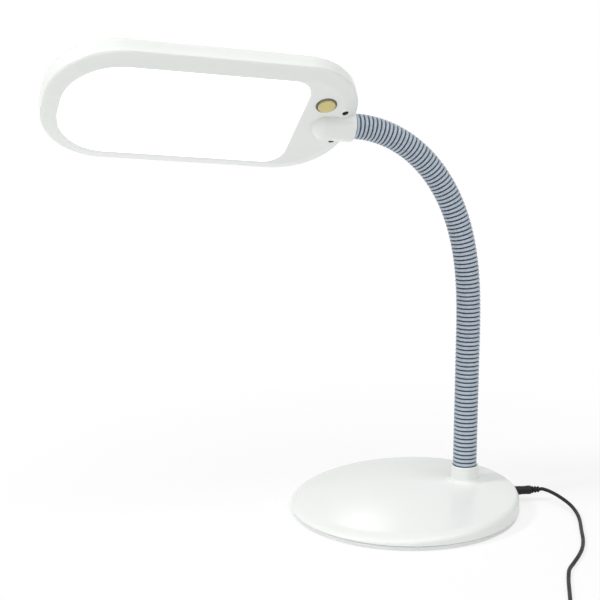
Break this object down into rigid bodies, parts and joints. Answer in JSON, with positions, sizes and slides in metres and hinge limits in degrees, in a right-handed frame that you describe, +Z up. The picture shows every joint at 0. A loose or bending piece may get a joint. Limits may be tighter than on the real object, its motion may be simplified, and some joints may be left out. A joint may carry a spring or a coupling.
{
  "type": "gooseneck reading lamp",
  "caption": "Reading lamp with a weighted round base, a ribbed flexible neck that stays where it is bent, and a flat swivelling lit head with a push button.",
  "frame": {"origin": "centre of the base on the table, in the pad's lower face", "axes": "+Z up; the head reaches towards -X; the neck and the power socket are on the +X side"},
  "size_m": [0.5029, 0.5669, 0.468],
  "materials": {
    "white_shell": "glossy white moulding",
    "base_plate": "satin light grey moulding",
    "pad": "matt foam rubber",
    "ballast": "rough cast",
    "steel": "plain steel",
    "neck_rubber": "satin blue-grey rubber",
    "diffuser": "opal white, softly lit",
    "circuit_board": "coated board",
    "led": "phosphor yellow",
    "dark_plastic": "dark moulding",
    "amber": "glossy amber",
    "cord": "satin black",
    "tie": "black tape",
    "adapter": "fine textured black",
    "pins": "plated"
  },
  "bodies": {
    "base": {"base_cover": "white_shell", "base_plate": "base_plate", "base_pad": "pad", "ballast_weight": "ballast", "base_screws": "steel", "neck_washer": "steel", "neck_nut": "steel", "neck_core_1": "steel", "neck_sleeve_1": "neck_rubber", "dc_jack": "dark_plastic", "cord_run": "cord", "cord_coil": "cord", "cord_tail": "cord", "cord_tie": "tie", "dc_plug": "cord", "adapter_body": "adapter", "adapter_pins": "pins"},
    "link_2": {"neck_core_2": "steel", "neck_sleeve_2": "neck_rubber"},
    "link_3": {"neck_core_3": "steel", "neck_sleeve_3": "neck_rubber"},
    "link_4": {"neck_core_4": "steel", "neck_sleeve_4": "neck_rubber"},
    "link_5": {"neck_core_5": "steel", "neck_sleeve_5": "neck_rubber"},
    "link_6": {"neck_core_6": "steel", "neck_sleeve_6": "neck_rubber"},
    "link_7": {"neck_core_7": "steel", "neck_sleeve_7": "neck_rubber"},
    "link_8": {"neck_core_8": "steel", "neck_sleeve_8": "neck_rubber"},
    "link_9": {"neck_core_9": "steel", "neck_sleeve_9": "neck_rubber"},
    "link_10": {"neck_core_10": "steel", "neck_sleeve_10": "neck_rubber"},
    "link_11": {"neck_core_11": "steel", "neck_sleeve_11": "neck_rubber"},
    "link_12": {"neck_core_12": "steel", "neck_sleeve_12": "neck_rubber", "swivel_clip": "steel"},
    "head": {"head_cover": "white_shell", "head_bezel": "white_shell", "diffuser": "diffuser", "led_board": "circuit_board", "leds": "led", "driver_board": "circuit_board", "switch_body": "dark_plastic", "button_ring": "dark_plastic", "head_screws": "steel"},
    "button": {"button_cap": "amber"}
  },
  "joints": [
    {"name": "neck_sway_1", "type": "hinge", "parent": "base", "child": "link_2", "pos_m": [0.065, 0, 0.0729], "axis": [1, 0, 0], "range_deg": [-8, 8]},
    {"name": "neck_lower_bend_1", "type": "hinge", "parent": "link_2", "child": "link_3", "pos_m": [0.065, 0, 0.1063], "axis": [0, -1, 0], "range_deg": [-7, 8]},
    {"name": "neck_sway_2", "type": "hinge", "parent": "link_3", "child": "link_4", "pos_m": [0.065, 0, 0.1397], "axis": [1, 0, 0], "range_deg": [-8, 8]},
    {"name": "neck_lower_bend_2", "type": "hinge", "parent": "link_4", "child": "link_5", "pos_m": [0.065, 0, 0.1731], "axis": [0, -1, 0], "range_deg": [-7, 8]},
    {"name": "neck_lower_bend_3", "type": "hinge", "parent": "link_5", "child": "link_6", "pos_m": [0.06442, 0, 0.20649], "axis": [0, -1, 0], "range_deg": [-7, 8]},
    {"name": "neck_upper_bend_1", "type": "hinge", "parent": "link_6", "child": "link_7", "pos_m": [0.06181, 0, 0.23978], "axis": [0, -1, 0], "range_deg": [-9, 3]},
    {"name": "neck_upper_bend_2", "type": "hinge", "parent": "link_7", "child": "link_8", "pos_m": [0.05561, 0, 0.27258], "axis": [0, -1, 0], "range_deg": [-9, 3]},
    {"name": "neck_upper_bend_3", "type": "hinge", "parent": "link_8", "child": "link_9", "pos_m": [0.04457, 0, 0.30405], "axis": [0, -1, 0], "range_deg": [-9, 3]},
    {"name": "neck_upper_bend_4", "type": "hinge", "parent": "link_9", "child": "link_10", "pos_m": [0.02778, 0, 0.33286], "axis": [0, -1, 0], "range_deg": [-9, 3]},
    {"name": "neck_upper_bend_5", "type": "hinge", "parent": "link_10", "child": "link_11", "pos_m": [0.00495, 0, 0.35713], "axis": [0, -1, 0], "range_deg": [-9, 3]},
    {"name": "neck_upper_bend_6", "type": "hinge", "parent": "link_11", "child": "link_12", "pos_m": [-0.02338, 0, 0.37461], "axis": [0, -1, 0], "range_deg": [-9, 3]},
    {"name": "head_swivel", "type": "hinge", "parent": "link_12", "child": "head", "pos_m": [-0.05557, 0, 0.383], "axis": [0.9952, 0, -0.0976], "range_deg": [-32, 118]},
    {"name": "button_press", "type": "slide", "parent": "head", "child": "button", "axis": [0.0714, 0.682, 0.7279], "range_m": [0, 0.0025], "stiffness_N_per_m": 500}
  ],
  "couplings": [
    {"joint": "neck_sway_2", "follows": "neck_sway_1", "ratio": 1},
    {"joint": "neck_lower_bend_2", "follows": "neck_lower_bend_1", "ratio": 1},
    {"joint": "neck_lower_bend_3", "follows": "neck_lower_bend_1", "ratio": 1},
    {"joint": "neck_upper_bend_2", "follows": "neck_upper_bend_1", "ratio": 1},
    {"joint": "neck_upper_bend_3", "follows": "neck_upper_bend_1", "ratio": 1},
    {"joint": "neck_upper_bend_4", "follows": "neck_upper_bend_1", "ratio": 1},
    {"joint": "neck_upper_bend_5", "follows": "neck_upper_bend_1", "ratio": 1},
    {"joint": "neck_upper_bend_6", "follows": "neck_upper_bend_1", "ratio": 1}
  ]
}
